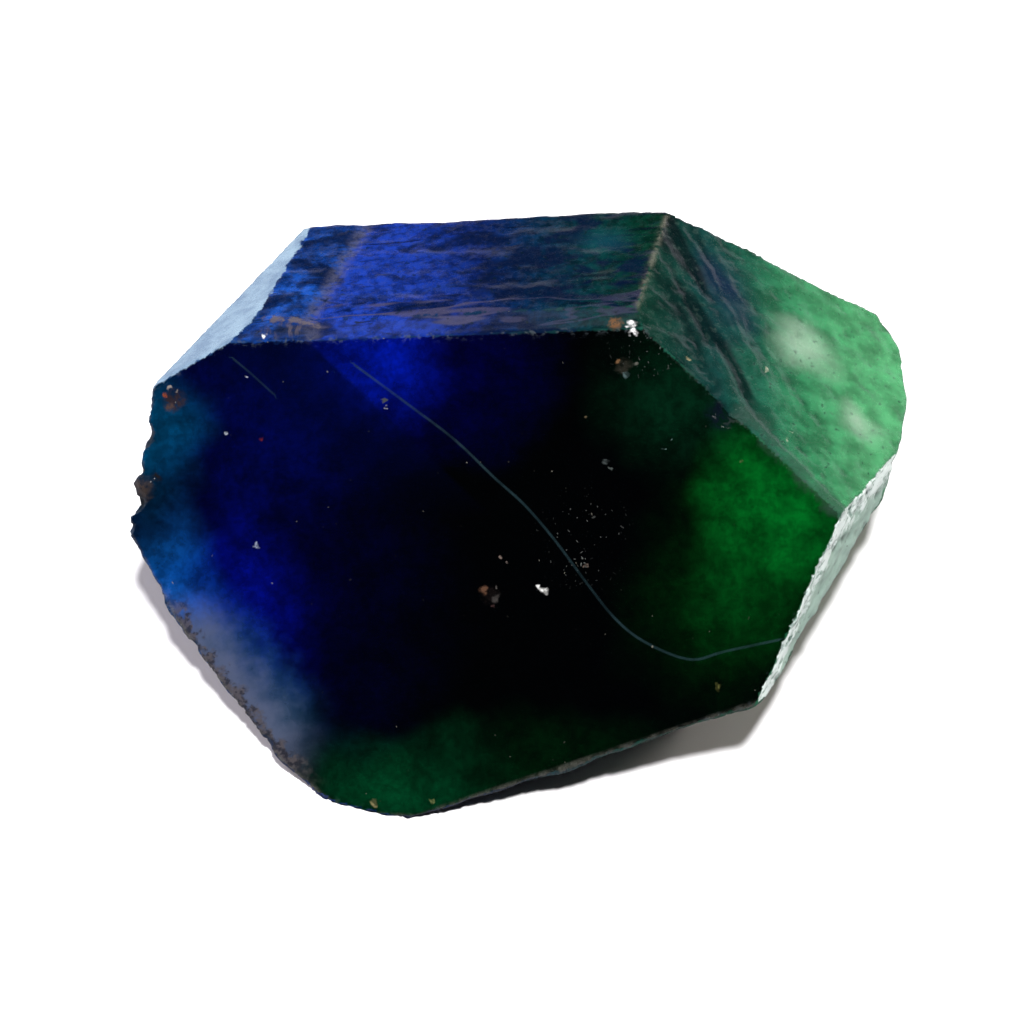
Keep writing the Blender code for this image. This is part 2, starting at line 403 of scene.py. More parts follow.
def held_relief(points, share, shape, least=LEAST_SHARE):
    """What a shape makes, times a share of the surface, worked out only where the share holds."""
    made = np.zeros(len(points))
    held = share > least
    made[held] = share[held] * shape(points[held])
    return made


def uneven_faces(points, part):
    made = np.zeros(len(points))
    for name, (rise, per_mm) in UNEVEN.items():
        shift = OFFSETS[NAMES.index(name)]
        if rise:
            made += held_relief(points, part[name], lambda spots: rise * uneven(spots + shift, per_mm, 3))
    return made


def seam_step(points, part):
    top = part["table"] + part["strip"] + part["band"] + part["pale"]
    beyond, lasting = beyond_seam(points)
    return top * SEAM_RISE * np.clip(beyond / SEAM_SLOPE_LENGTH, 0.0, 1.0) * lasting


def growth_lines(points, part):
    """Ledges and fine lines along the band, fainter on the strip."""
    band = NORMALS[NAMES.index("band")]
    long_edge = np.cross(NORMALS[NAMES.index("strip")], band)

    def lines(spots):
        ledges = LEDGE_HEIGHT * grain_noise(spots, long_edge, band, LEDGES_PER_MM)
        return ledges + FINE_LINE_HEIGHT * grain_noise(spots, long_edge, band, FINE_LINES_PER_MM)

    return held_relief(points, part["band"] + STRIP_LINED * part["strip"], lines)


def broken_ribs(points, part):
    made = np.zeros(len(points))
    for name in RIBBED:
        normal = NORMALS[NAMES.index(name)]
        along = RIB_AXIS - (RIB_AXIS @ normal) * normal

        def ribs(spots):
            return RIB_HEIGHT * grain_noise(spots, along, normal, RIBS_PER_MM)

        made += held_relief(points, part[name], ribs)
    return made


def shoulder_ridges(points, part):
    near = part["shoulder"] * fade(distance_to_stretch(points, RIDGE_START, RIDGE_END), RIDGE_REACH)
    normal = NORMALS[NAMES.index("shoulder")]
    along = RIDGE_END - RIDGE_START

    def ridges(spots):
        return RIDGE_HEIGHT * grain_noise(spots, along, normal, RIDGES_PER_MM)

    return held_relief(points, near, ridges)


def worn_lip(points, part):
    near = fade(distance_to_stretch(points, LIP_START, LIP_END), LIP_WIDTH)
    return (part["shoulder"] + part["table"]) * near * LIP_HEIGHT


def scattered_pits(points, part):
    made = np.zeros(len(points))
    for spacing, depths in ((PIT_SPACING, PITTED), (SMALL_PIT_SPACING, SMALL_PITTED)):
        pitted = sum(part[name] * depth for name, depth in depths.items())
        made += held_relief(points, pitted, lambda spots: pits(spots, spacing), LEAST_PITTED)
    return made


def ragged_hollows(points):
    made = np.zeros(len(points))
    for place, radius, depth in HOLLOWS:
        away = np.linalg.norm(points - np.array(place), axis=1)
        held = away < HOLLOW_REACH * radius
        ragged = 1.0 + HOLLOW_RAGGED * uneven(points[held], HOLLOW_PER_MM, 2)
        made[held] += depth * fade(away[held] * ragged, radius)
    return made


def crusty_bites(points, part):
    def crust(spots):
        return BITTEN_HEIGHT * uneven(spots, BITTEN_PER_MM, 3)

    return held_relief(points, part["bitten"], crust, LEAST_ROUGH)


def fine_roughness(points, part):
    rough = np.clip(1.0 - part["table"] - part["pale"] - part["base"], 0.0, 1.0)

    def fine(spots):
        return ROUGH_HEIGHT * uneven(spots, ROUGH_PER_MM, 3)

    return held_relief(points, rough, fine, LEAST_ROUGH)


def relief(points, part):
    """Heights above the plain faces, and the hollows and furrows among them, which the colours follow: darker
    there as painted shade, and paler on crests as a painted highlight.
    """
    cavity = broken_ribs(points, part) - scattered_pits(points, part)
    cavity += crusty_bites(points, part) + fine_roughness(points, part)
    furrow = shoulder_ridges(points, part)
    height = uneven_faces(points, part) + seam_step(points, part) + growth_lines(points, part)
    height += furrow + worn_lip(points, part) + cavity - ragged_hollows(points)
    height += SCAR_HEIGHT * fade(distance_to_stretch(points, *SCAR), SCAR_WIDTH)
    height += KNOB_HEIGHT * fade(np.linalg.norm(points - np.array(KNOB), axis=1), KNOB_RADIUS)
    return height, cavity, furrow


def stone_fields(points, part, cavity, furrow):
    """What the colours follow, as a number at every point: shares of faces, and distances in millimetres."""
    gaps = points @ NORMALS.T - OFFSETS
    low_faces = [i for i, name in enumerate(NAMES) if name.startswith("under") or name == "toe"]
    high_faces = [NAMES.index("table"), NAMES.index("shoulder")]
    strip_to_band = gaps[:, NAMES.index("strip")] - gaps[:, NAMES.index("band")]
    beyond, lasting = beyond_seam(points)
    fields = {name: part[name] for name in COLOURED}
    fields["cavity"] = cavity
    fields["furrow"] = furrow
    fields["top_edge"] = np.clip(gaps[:, high_faces].max(axis=1), -FAR, OUTSIDE)
    fields["rim"] = np.clip(gaps[:, low_faces].max(axis=1), -RIM_FAR, OUTSIDE)
    fields["band_down"] = np.clip(strip_to_band, -FAR, FAR)
    fields["seam"] = np.clip(beyond, -FAR, FAR)
    fields["seam_lasting"] = lasting
    for name, corners in (("crack", CRACK), ("small_crack", SMALL_CRACK)):
        across = side_of_line(points, rounded_line(corners), NORMALS[NAMES.index("table")])
        fields[name] = np.clip(across, -LINE_FAR, LINE_FAR)
        fields[name + "_reach"] = np.minimum(np.abs(across), LINE_FAR)
    fields["lip"] = np.minimum(distance_to_stretch(points, LIP_START, LIP_END), LINE_FAR)
    fields["scar"] = np.minimum(distance_to_stretch(points, *SCAR), LINE_FAR)
    fields["steep_edge"] = EDGE_GAIN * part["band"] * part["shoulder"]
    fields["table_edge"] = EDGE_GAIN * part["table"] * (1.0 - part["table"])
    return fields


def plain_surface():
    """The cleaved block with its bites, at the fine grid."""
    stone = cleaved_block("tourmaline_surface")
    cutters = [ball(f"bite_{i}", centre, radius) for i, (centre, radius) in enumerate(bites())]
    for cutter in cutters:
        cut = stone.modifiers.new(cutter.name, "BOOLEAN")
        cut.operation = "DIFFERENCE"
        cut.solver = "EXACT"
        cut.object = cutter
    skin = stone.modifiers.new("skin", "REMESH")
    skin.mode = "VOXEL"
    skin.voxel_size = GRID
    replace_mesh(stone)
    for cutter in cutters:
        bpy.data.objects.remove(cutter, do_unlink=True)
    return stone


def centred(points):
    """The points, moved level so that their box has the middle of the part's box."""
    low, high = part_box(NODE)
    wanted = (np.array(low) + np.array(high)) / 2 * MM_PER_METRE
    middle = (points.min(axis=0) + points.max(axis=0)) / 2
    points[:, :2] += (wanted - middle)[:2]
    return points


def tourmaline_surface():
    """The crystal's outer surface at full detail, with the fields that its material reads."""
    stone = plain_surface()
    mesh = stone.data
    points, share, outward = wear_edges(points_of(mesh))
    part = {name: share[:, i] for i, name in enumerate(NAMES)}
    part["bitten"] = share[:, len(NAMES):].sum(axis=1)
    height, cavity, furrow = relief(points, part)
    for name, values in stone_fields(points, part, cavity, furrow).items():
        layer = mesh.attributes.new(name, "FLOAT", "POINT")
        layer.data.foreach_set("value", values.astype(np.float32))
    points = points + outward * height[:, None]
    points[:, 2] = np.where(points[:, 2] < BASE_SNAP, 0.0, points[:, 2])
    set_points(mesh, centred(points))
    mesh.transform(Matrix.Scale(METRES_PER_MM, 4))
    mesh.shade_smooth()
    mesh.name = stone.name
    return stone


class Nodes:
    """Short names for making a material's nodes."""

    def __init__(self, tree):
        self.tree = tree

    def new(self, kind, inputs=None, **settings):
        node = self.tree.nodes.new(kind)
        for name, value in settings.items():
            setattr(node, name, value)
        for key, value in (inputs or {}).items():
            self.put(value, node.inputs[key])
        return node

    def put(self, value, socket):
        if isinstance(value, bpy.types.NodeSocket):
            self.tree.links.new(value, socket)
        else:
            socket.default_value = value

    def math(self, operation, a, b=0.0, clamp=False):
        return self.new("ShaderNodeMath", {0: a, 1: b}, operation=operation, use_clamp=clamp).outputs[0]

    def times(self, a, b):
        return self.math("MULTIPLY", a, b)

    def plus(self, a, b):
        return self.math("ADD", a, b)

    def minus(self, a, b):
        """The difference, held between 0 and 1."""
        return self.math("SUBTRACT", a, b, clamp=True)

    def size(self, a):
        return self.math("ABSOLUTE", a)

    def vector(self, operation, a, b=(0.0, 0.0, 0.0)):
        return self.new("ShaderNodeVectorMath", {0: a, 1: b}, operation=operation).outputs[0]

    def scaled(self, a, amount):
        return self.new("ShaderNodeVectorMath", {0: a, "Scale": amount}, operation="SCALE").outputs[0]

    def stretched(self, place, factors):
        return self.vector("MULTIPLY", place, factors)

    def field(self, name):
        """One of the mesh's own fields, a number at every vertex."""
        return self.new("ShaderNodeAttribute", attribute_name=name).outputs["Fac"]

    def span(self, value, low, high, to_low=0.0, to_high=1.0, smooth=True):
        """The value, mapped from one range to another and held in it."""
        kind = "SMOOTHSTEP" if smooth else "LINEAR"
        inputs = {"Value": value, "From Min": low, "From Max": high, "To Min": to_low, "To Max": to_high}
        return self.new("ShaderNodeMapRange", inputs, interpolation_type=kind, clamp=True).outputs["Result"]

    def noise(self, place, scale, detail, roughness=0.55, distortion=0.0):
        inputs = {"Vector": place, "Scale": scale, "Detail": detail, "Roughness": roughness}
        inputs["Distortion"] = distortion
        return self.new("ShaderNodeTexNoise", inputs).outputs["Fac"]

    def push(self, place, scale, detail, roughness, reach):
        """The place, pushed about by a noise."""
        inputs = {"Vector": place, "Scale": scale, "Detail": detail, "Roughness": roughness}
        way = self.new("ShaderNodeTexNoise", inputs).outputs["Color"]
        way = self.vector("SUBTRACT", way, (0.5, 0.5, 0.5))
        return self.vector("ADD", place, self.scaled(way, reach))

    def cells(self, place, scale):
        """Scattered cells: the distance from each one's middle, and its own colour as three numbers."""
        cell = self.new("ShaderNodeTexVoronoi", {"Vector": place, "Scale": scale})
        chance = self.new("ShaderNodeSeparateColor", {0: cell.outputs["Color"]}).outputs
        return cell.outputs["Distance"], chance

    def ramp(self, value, stops):
        node = self.new("ShaderNodeValToRGB", {0: value})
        elements = node.color_ramp.elements
        while len(elements) < len(stops):
            elements.new(0.5)
        for element, (at, tint) in zip(elements, stops):
            element.position = at
            element.color = colour(*tint)
        return node.outputs[0]

    def mix(self, factor, a, b, blend="MIX"):
        node = self.new("ShaderNodeMix", data_type="RGBA", blend_type=blend, clamp_factor=True)
        self.put(factor, node.inputs[0])
        self.put(a, node.inputs[6])
        self.put(b, node.inputs[7])
        return node.outputs[2]

    def blend(self, factor, a, b):
        node = self.new("ShaderNodeMix", data_type="FLOAT", clamp_factor=True)
        self.put(factor, node.inputs[0])
        self.put(a, node.inputs[2])
        self.put(b, node.inputs[3])
        return node.outputs[0]

    def near(self, place, centre, radii):
        """1 at a centre, falling smoothly to 0 at the radii."""
        away = self.vector("SUBTRACT", place, centre)
        away = self.vector("DIVIDE", away, radii)
        length = self.new("ShaderNodeVectorMath", {0: away}, operation="LENGTH").outputs["Value"]
        return self.span(length, 1.0, 0.0)


def colour(red, green, blue):
    return (red, green, blue, 1.0)


# Glows of colour inside the stone, seen through the table: partly the stone's own blue and green zones,
# partly painted light standing in for light shining through its thinner parts. Centre and radii in
# millimetres, and colour.
TABLE_GLOWS = (
    ((-9.8, -4.5, 2.6), (3.9, 5.2, 5.2), (0.0, 0.002, 0.125)),
    ((-8.6, -4.0, 2.8), (7.6, 7.6, 7.6), (0.0, 0.0, 0.014)),
    ((-11.8, -3.6, 2.6), (2.4, 3.8, 3.8), (0.002, 0.058, 0.20)),
    ((-12.5, 1.2, 4.9), (2.5, 3.2, 3.2), (0.0, 0.038, 0.082)),
    ((-8.6, 1.6, 5.6), (6.4, 5.0, 5.0), (0.0, 0.001, 0.040)),
    ((-4.8, 2.8, 6.9), (3.2, 2.6, 2.6), (0.0, 0.005, 0.20)),
    ((-2.4, 2.4, 6.7), (5.0, 3.6, 3.6), (0.0, 0.0, 0.025)),
    ((8.2, -1.9, 5.7), (3.3, 3.9, 3.9), (0.0, 0.090, 0.009)),
    ((6.6, -4.6, 4.3), (4.4, 5.2, 5.2), (0.0, 0.010, 0.0010)),
    ((7.4, -5.0, 4.0), (3.0, 3.0, 3.0), (0.0, 0.018, 0.002)),
    ((-4.2, -9.9, 0.6), (5.0, 2.8, 2.8), (0.0, 0.030, 0.009)),
    ((1.5, -9.2, 1.6), (5.4, 2.0, 2.0), (0.0, 0.006, 0.001)),
    ((4.9, 0.9, 7.1), (3.6, 3.2, 3.2), (0.0005, 0.014, 0.005)),
)

# Small marks: centre, radius and colour.
MARKS = (
    ((0.66, -4.28, 3.93), 0.19, (0.95, 0.95, 0.92)),
    ((0.45, -4.20, 3.97), 0.12, (0.85, 0.85, 0.83)),
    ((-1.11, -4.27, 3.68), 0.38, (0.004, 0.003, 0.003)),
    ((-1.30, -4.12, 3.74), 0.17, (0.10, 0.050, 0.030)),
    ((-0.90, -4.36, 3.64), 0.18, (0.040, 0.036, 0.034)),
    ((-1.00, -4.58, 3.54), 0.11, (0.080, 0.042, 0.040)),
    ((-0.98, -4.05, 3.78), 0.07, (0.26, 0.24, 0.22)),
    ((6.12, -7.40, 3.09), 0.16, (0.10, 0.10, 0.03)),
    ((-11.44, 2.16, 5.55), 0.48, (0.022, 0.016, 0.022)),
    ((-10.92, 2.86, 5.87), 0.07, (0.26, 0.25, 0.25)),
    ((-11.38, 2.45, 5.66), 0.06, (0.22, 0.19, 0.17)),
    ((-11.62, 1.95, 5.45), 0.20, (0.055, 0.035, 0.034)),
    ((-11.78, 2.33, 5.59), 0.12, (0.22, 0.05, 0.025)),
    ((-11.62, 2.52, 5.70), 0.10, (0.26, 0.22, 0.20)),
    ((-11.20, 2.65, 5.78), 0.08, (0.30, 0.22, 0.18)),
    ((-8.55, 0.82, 5.26), 0.10, (0.12, 0.012, 0.010)),
    ((-9.72, 1.05, 5.22), 0.08, (0.34, 0.37, 0.42)),
    ((-8.74, -2.28, 3.62), 0.11, (0.30, 0.34, 0.45)),
    ((-4.42, 1.40, 6.17), 0.06, (0.60, 0.60, 0.62)),
    ((-4.58, 1.62, 6.25), 0.12, (0.050, 0.055, 0.060)),
    ((-4.30, 1.95, 6.34), 0.08, (0.045, 0.060, 0.070)),
    ((-9.02, 2.66, 6.17), 0.06, (0.50, 0.52, 0.58)),
    ((-8.95, 3.55, 6.45), 0.05, (0.60, 0.65, 0.70)),
    ((-5.75, 5.30, 6.80), 0.08, (0.50, 0.52, 0.60)),
    ((-0.20, 4.90, 7.60), 0.10, (0.20, 0.19, 0.17)),
    ((1.20, 4.70, 7.75), 0.08, (0.28, 0.26, 0.24)),
    ((-4.78, -9.92, 0.19), 0.16, (0.20, 0.17, 0.08)),
    ((-2.92, -9.98, 0.43), 0.14, (0.14, 0.16, 0.06)),
    ((-12.45, -0.36, 4.05), 0.52, (0.040, 0.030, 0.028)),
    ((-12.62, -0.62, 3.92), 0.20, (0.012, 0.010, 0.010)),
    ((-12.05, -0.10, 4.20), 0.30, (0.010, 0.008, 0.008)),
    ((-12.18, -0.40, 4.08), 0.15, (0.26, 0.23, 0.20)),
    ((2.95, 3.35, 8.10), 0.34, (0.13, 0.065, 0.028)),
    # These two white marks are painted glints: a painted highlight on the corner hollows.
    ((3.50, 3.30, 8.14), 0.21, (1.0, 1.0, 1.0)),
    ((3.52, 2.98, 8.08), 0.16, (1.0, 1.0, 1.0)),
    ((6.31, 0.31, 7.35), 0.70, (0.003, 0.006, 0.012)),
    ((6.62, 0.05, 7.22), 0.13, (0.16, 0.17, 0.17)),
    ((-8.49, 3.82, 6.72), 0.13, (0.85, 0.88, 0.90)),
    ((-8.30, 3.60, 6.68), 0.08, (0.70, 0.74, 0.78)),
    ((-8.15, 3.95, 6.74), 0.07, (0.55, 0.60, 0.66)),
    ((6.05, 0.20, 7.32), 0.17, (0.26, 0.25, 0.25)),
    ((6.95, -1.1, 6.60), 0.12, (0.22, 0.19, 0.10)),
    ((3.21, 1.99, 7.58), 0.34, (0.016, 0.016, 0.012)),
    ((2.98, 2.12, 7.62), 0.12, (0.16, 0.085, 0.040)),
    ((3.53, 2.05, 7.66), 0.11, (0.10, 0.10, 0.085)),
    ((3.27, 1.75, 7.47), 0.15, (0.06, 0.095, 0.095)),
    ((8.54, 0.36, 6.16), 0.10, (0.42, 0.44, 0.34)),
    ((8.41, -0.08, 6.32), 0.11, (0.38, 0.40, 0.30)),
    ((2.62, -0.7, 6.09), 0.16, (0.045, 0.055, 0.055)),
    ((2.77, -0.92, 6.0), 0.10, (0.07, 0.085, 0.08)),
    ((4.47, -0.53, 6.45), 0.075, (0.16, 0.26, 0.24)),
    ((4.76, -0.21, 6.66), 0.06, (0.13, 0.22, 0.20)),
    ((1.98, 0.61, 6.68), 0.09, (0.09, 0.07, 0.040)),
    ((-0.79, -3.2, 4.29), 0.09, (0.16, 0.12, 0.10)),
    ((-0.59, -3.36, 4.23), 0.07, (0.20, 0.16, 0.14)),
    ((1.97, -3.63, 4.46), 0.09, (0.16, 0.12, 0.10)),
    ((5.28, 2.29, 7.51), 0.15, (0.45, 0.36, 0.20)),
    ((7.95, 2.95, 6.20), 0.17, (0.60, 0.56, 0.44)),
)

# Colours along the stone's X, from one end of a stretch in millimetres to the other.
BAND_STRETCH = (-6.0, 5.0)
BAND_COLOURS = (
    (0.0, (0.008, 0.035, 0.30)),
    (0.22, (0.007, 0.030, 0.26)),
    (0.42, (0.002, 0.011, 0.085)),
    (0.60, (0.001, 0.018, 0.045)),
    (0.76, (0.001, 0.026, 0.028)),
    (0.88, (0.0005, 0.024, 0.015)),
    (1.0, (0.0005, 0.026, 0.011)),
)
SHOULDER_STRETCH = (4.0, 13.0)
SHOULDER_COLOURS = (
    (0.0, (0.004, 0.030, 0.020)),
    (0.25, (0.005, 0.040, 0.036)),
    (0.42, (0.012, 0.095, 0.055)),
    (0.58, (0.030, 0.20, 0.085)),
    (0.78, (0.060, 0.29, 0.12)),
    (1.0, (0.075, 0.34, 0.14)),
)
BROKEN_STRETCH = (-13.0, 13.0)
BROKEN_COLOURS = (
    (0.0, (0.010, 0.050, 0.13)),
    (0.25, (0.006, 0.022, 0.12)),
    (0.5, (0.003, 0.018, 0.030)),
    (0.75, (0.006, 0.070, 0.035)),
    (1.0, (0.025, 0.20, 0.075)),
)

# Other colours. Several are painted light: the hollow, pit and dark streak colours are painted shade, the
# crest, pit rim and pale streak colours painted highlights, the lilac streak colour a painted sheen, the
# shoulder glow painted light, the low side colours a painted shadow, and the side white and pale facet
# colours partly a painted reflection.
HEART_BLACK = colour(0.0001, 0.0001, 0.0002)
SEAM_NAVY = colour(0.0, 0.001, 0.016)
STREAK_SHADE_NAVY = colour(0.0008, 0.003, 0.012)
BLOTCH_NAVY = colour(0.001, 0.005, 0.026)
HOLLOW_SHADE_BLACK = colour(0.001, 0.004, 0.006)
PIT_SHADE_BLACK = colour(0.002, 0.009, 0.010)
SCRATCHED_BLACK = colour(0.002, 0.006, 0.018)
BITTEN_BLACK = colour(0.004, 0.010, 0.014)
BY_BITES_BLACK = colour(0.006, 0.010, 0.016)
PATCH_NAVY = colour(0.006, 0.012, 0.045)
CRUST_DARK = colour(0.020, 0.018, 0.022)
CRACK_GREY = colour(0.024, 0.052, 0.062)
MILKY_BLUE = colour(0.012, 0.060, 0.13)
DUSTY_BLUE = colour(0.030, 0.042, 0.085)
STREAK_HIGHLIGHT_BLUE = colour(0.022, 0.045, 0.12)
TEAL = colour(0.006, 0.075, 0.095)
SIDE_BLACK = colour(0.020, 0.050, 0.040)
LIP_GREY = colour(0.040, 0.075, 0.060)
CRUST_PALE = colour(0.078, 0.066, 0.068)
LILAC_SHEEN = colour(0.056, 0.054, 0.110)
CHIPPED_GREY = colour(0.085, 0.105, 0.120)
RAKE_GREY = colour(0.09, 0.075, 0.09)
MILKY_LILAC = colour(0.080, 0.102, 0.168)
SEAM_LILAC = colour(0.090, 0.095, 0.155)
CHIP_GREY = colour(0.10, 0.12, 0.12)
RIM_GREY = colour(0.12, 0.12, 0.10)
CREST_GREY = colour(0.12, 0.10, 0.11)
CREST_HIGHLIGHT_GREEN = colour(0.06, 0.14, 0.13)
STEEP_EDGE_GREY = colour(0.15, 0.15, 0.12)
SPARKLE_GREY = colour(0.17, 0.18, 0.17)
DUST = colour(0.22, 0.21, 0.17)
PIT_RIM_HIGHLIGHT = colour(0.20, 0.34, 0.28)
LEFT_NAVY = colour(0.004, 0.028, 0.16)
LEFT_BLUE = colour(0.008, 0.070, 0.38)
PALE_SHEEN_BLUE = colour(0.18, 0.28, 0.41)
PALE_SHEEN_WHITE = colour(0.30, 0.44, 0.57)
SIDE_GREEN = colour(0.16, 0.30, 0.24)
SIDE_WHITE_SHEEN = colour(0.88, 1.0, 0.97)
SHADOWED_SIDE_GREEN = colour(0.22, 0.37, 0.29)
SHADOWED_SIDE_PALE = colour(0.50, 0.68, 0.60)
PAINTED_SHOULDER_GLOW = colour(0.36, 0.54, 0.40)
ABSORBED = colour(0.12, 0.42, 0.46)

# Places on the faces: centre and radii in millimetres.
LOWER_LEFT = ((-9.7, -6.6, 1.2), (4.9, 4.9, 4.9))
TEAL_PATCH = ((2.7, 8.0, 6.6), (1.4, 1.2, 1.2))
WIDE_STREAKS = ((-3.8, 4.4, 7.4), (4.6, 3.0, 3.0))
BLUE_PATCH = ((6.65, 6.2, 6.0), (1.7, 3.0, 3.0))
# Where the shoulder's two painted glows stand in for light inside the stone.
SHOULDER_GLOWS = (((9.22, 4.69, 4.96), (1.9, 1.9, 1.9)), ((11.24, 1.73, 4.47), (1.5, 1.5, 1.5)))
BITTEN_END = ((-12.9, 0.2, 4.2), (3.2, 3.6, 2.6))
SCRATCHED_PATCH = ((-7.7, 4.05, 6.78), (1.3, 0.55, 0.6))
# Where finer specks crowd, partly flecks and partly painted sparkle.
DUST_AND_SPARKLE_MIDDLE = ((1.9, -2.9, 4.9), (1.9, 1.9, 1.9))
DUST_AND_SPARKLE_CORNER = ((4.0, 2.6, 7.6), (1.7, 1.7, 1.7))

# Each healed crack's field, half width in millimetres and strength.
CRACK_LINES = (("crack", 0.060, 0.50), ("small_crack", 0.05, 0.32))

TRANSMISSION = 0.25
TOURMALINE_IOR = 1.63
ABSORPTION_PER_METRE = 260.0
SIDE_TURN = math.radians(-61.0)
SIDE_ROUGHNESS = 0.5
WORN_ROUGHNESS = 0.45
GRAIN_PER_MM = 7.0
GRAIN_HEIGHT = 0.00001


class Shared:
    """What the stone's colours share: the place in millimetres, pushed copies of it, and three noises."""

    def __init__(self, nodes):
        coordinates = nodes.new("ShaderNodeTexCoord").outputs["Object"]
        self.place = nodes.scaled(coordinates, MM_PER_METRE)
        self.along_x = nodes.new("ShaderNodeSeparateXYZ", {0: self.place}).outputs["X"]
        self.warped = nodes.push(self.place, 0.30, 2.0, 0.55, 3.0)
        self.shaken = nodes.push(self.place, 4.0, 1.0, 0.5, 0.35)
        self.slow = nodes.noise(self.place, 1.1, 4.0, 0.62)
        self.middle = nodes.noise(self.place, 2.4, 3.0, 0.68)
        self.quick = nodes.noise(self.place, 4.2, 2.0, 0.72)
        self.shake = nodes.span(self.middle, 0.3, 0.7, -0.28, 0.28)


def crisp(nodes, shared, name):
    """A face's share of the surface with a sharp, slightly ragged border."""
    return nodes.span(nodes.plus(nodes.field(name), shared.shake), 0.35, 0.65)


def table_colour(nodes, shared):
    """Blue and green glows over a black heart, partly the stone's own zones and partly painted light shining
    through it, with milky haze and a worn rim at the lower left.
    """
    tint = nodes.new("ShaderNodeRGB").outputs[0]
    tint.default_value = HEART_BLACK
    for centre, radii, glow in TABLE_GLOWS:
        tint = nodes.mix(nodes.near(shared.warped, centre, radii), tint, colour(*glow), "ADD")
    veil = nodes.span(shared.slow, 0.30, 0.70, 0.60, 1.35)
    fine = nodes.span(shared.quick, 0.35, 0.65, 0.8, 1.2)
    tint = nodes.scaled(tint, nodes.times(veil, fine))

    rim = nodes.field("rim")
    lower_left = nodes.near(shared.place, *LOWER_LEFT)
    hazy_rim = nodes.plus(rim, nodes.span(shared.slow, 0.25, 0.75, -0.35, 0.35))
    haze = nodes.times(nodes.span(hazy_rim, -2.9, -0.2), nodes.span(lower_left, 0.05, 0.65, 0.0, 0.9))
    milky = nodes.mix(nodes.span(hazy_rim, -2.0, -0.3), MILKY_BLUE, MILKY_LILAC)
    tint = nodes.mix(haze, tint, milky)

    seam = nodes.field("seam")
    left_of_seam = nodes.times(nodes.span(seam, 0.0, 0.15), nodes.field("seam_lasting"))
    dark = nodes.times(left_of_seam, nodes.span(seam, 3.0, 0.5, 0.0, 0.8))
    tint = nodes.mix(dark, tint, SEAM_NAVY)

    worn_rim = nodes.plus(rim, nodes.span(shared.middle, 0.30, 0.65, -0.30, 0.18))
    worn = nodes.times(nodes.span(worn_rim, -0.55, -0.20), nodes.span(lower_left, 0.0, 0.35, 0.0, 0.85))
    crust = nodes.mix(nodes.span(shared.quick, 0.40, 0.60), CRUST_DARK, CRUST_PALE)
    tint = nodes.mix(worn, tint, crust)
    rim_line = nodes.times(nodes.span(rim, -0.16, 0.0), nodes.span(shared.middle, 0.40, 0.62, 0.1, 0.6))
    return nodes.mix(rim_line, tint, RIM_GREY)


def band_colour(nodes, shared):
    """Blue to teal to green along the stone, with dark streaks of painted shade, pale streaks of painted
    highlight, the lilac seam and lilac lower streaks of painted sheen.
    """
    tint = nodes.ramp(nodes.span(shared.along_x, *BAND_STRETCH, smooth=False), BAND_COLOURS)
    seam = nodes.field("seam")
    left = nodes.mix(nodes.span(shared.slow, 0.42, 0.68), LEFT_NAVY, LEFT_BLUE)
    tint = nodes.mix(nodes.span(seam, -0.10, 0.10), tint, left)
    tint = nodes.scaled(tint, nodes.span(shared.middle, 0.36, 0.62, 0.55, 1.25))
    blue_end = nodes.span(shared.along_x, 4.5, 0.0, 0.12, 1.0)
    dusty = nodes.times(nodes.span(shared.quick, 0.45, 0.70, 0.0, 0.20), blue_end)
    tint = nodes.mix(dusty, tint, DUSTY_BLUE)

    drawn = nodes.stretched(shared.place, (0.22, 1.5, 1.5))
    # Pale streaks are a painted highlight, and dark streaks painted shade, along the band's ledges.
    streaks = nodes.noise(drawn, 1.1, 4.0, 0.62, 1.0)
    streak_highlight = nodes.times(nodes.times(nodes.span(streaks, 0.50, 0.72), 0.30), blue_end)
    tint = nodes.mix(streak_highlight, tint, STREAK_HIGHLIGHT_BLUE)
    tint = nodes.mix(nodes.times(nodes.span(streaks, 0.48, 0.30), 0.85), tint, STREAK_SHADE_NAVY)
    blotch = nodes.noise(nodes.stretched(shared.place, (0.6, 1.0, 1.0)), 0.9, 3.0, 0.6, 0.6)
    tint = nodes.mix(nodes.span(blotch, 0.46, 0.60, 0.0, 0.82), tint, BLOTCH_NAVY)
    teal = nodes.near(shared.place, *TEAL_PATCH)
    tint = nodes.mix(nodes.times(teal, 0.45), tint, TEAL)

    # The lilac lower streaks are a painted sheen.
    waver = nodes.span(nodes.noise(drawn, 0.8, 2.0), 0.0, 1.0, -0.50, 0.60, smooth=False)
    off_line = nodes.size(nodes.plus(nodes.field("band_down"), waver))
    wide = nodes.near(shared.place, *WIDE_STREAKS)
    lilac = nodes.span(off_line, nodes.span(wide, 0.0, 0.8, 0.035, 0.085), 0.012)
    lilac = nodes.times(lilac, nodes.span(wide, 0.0, 0.6, 0.35, 0.8))
    tint = nodes.mix(lilac, tint, LILAC_SHEEN)
    broken_line = nodes.span(shared.quick, 0.30, 0.60, 0.25, 1.0)
    line = nodes.times(nodes.span(nodes.size(seam), 0.24, 0.03), broken_line)
    return nodes.mix(nodes.times(line, 0.50), tint, SEAM_LILAC)


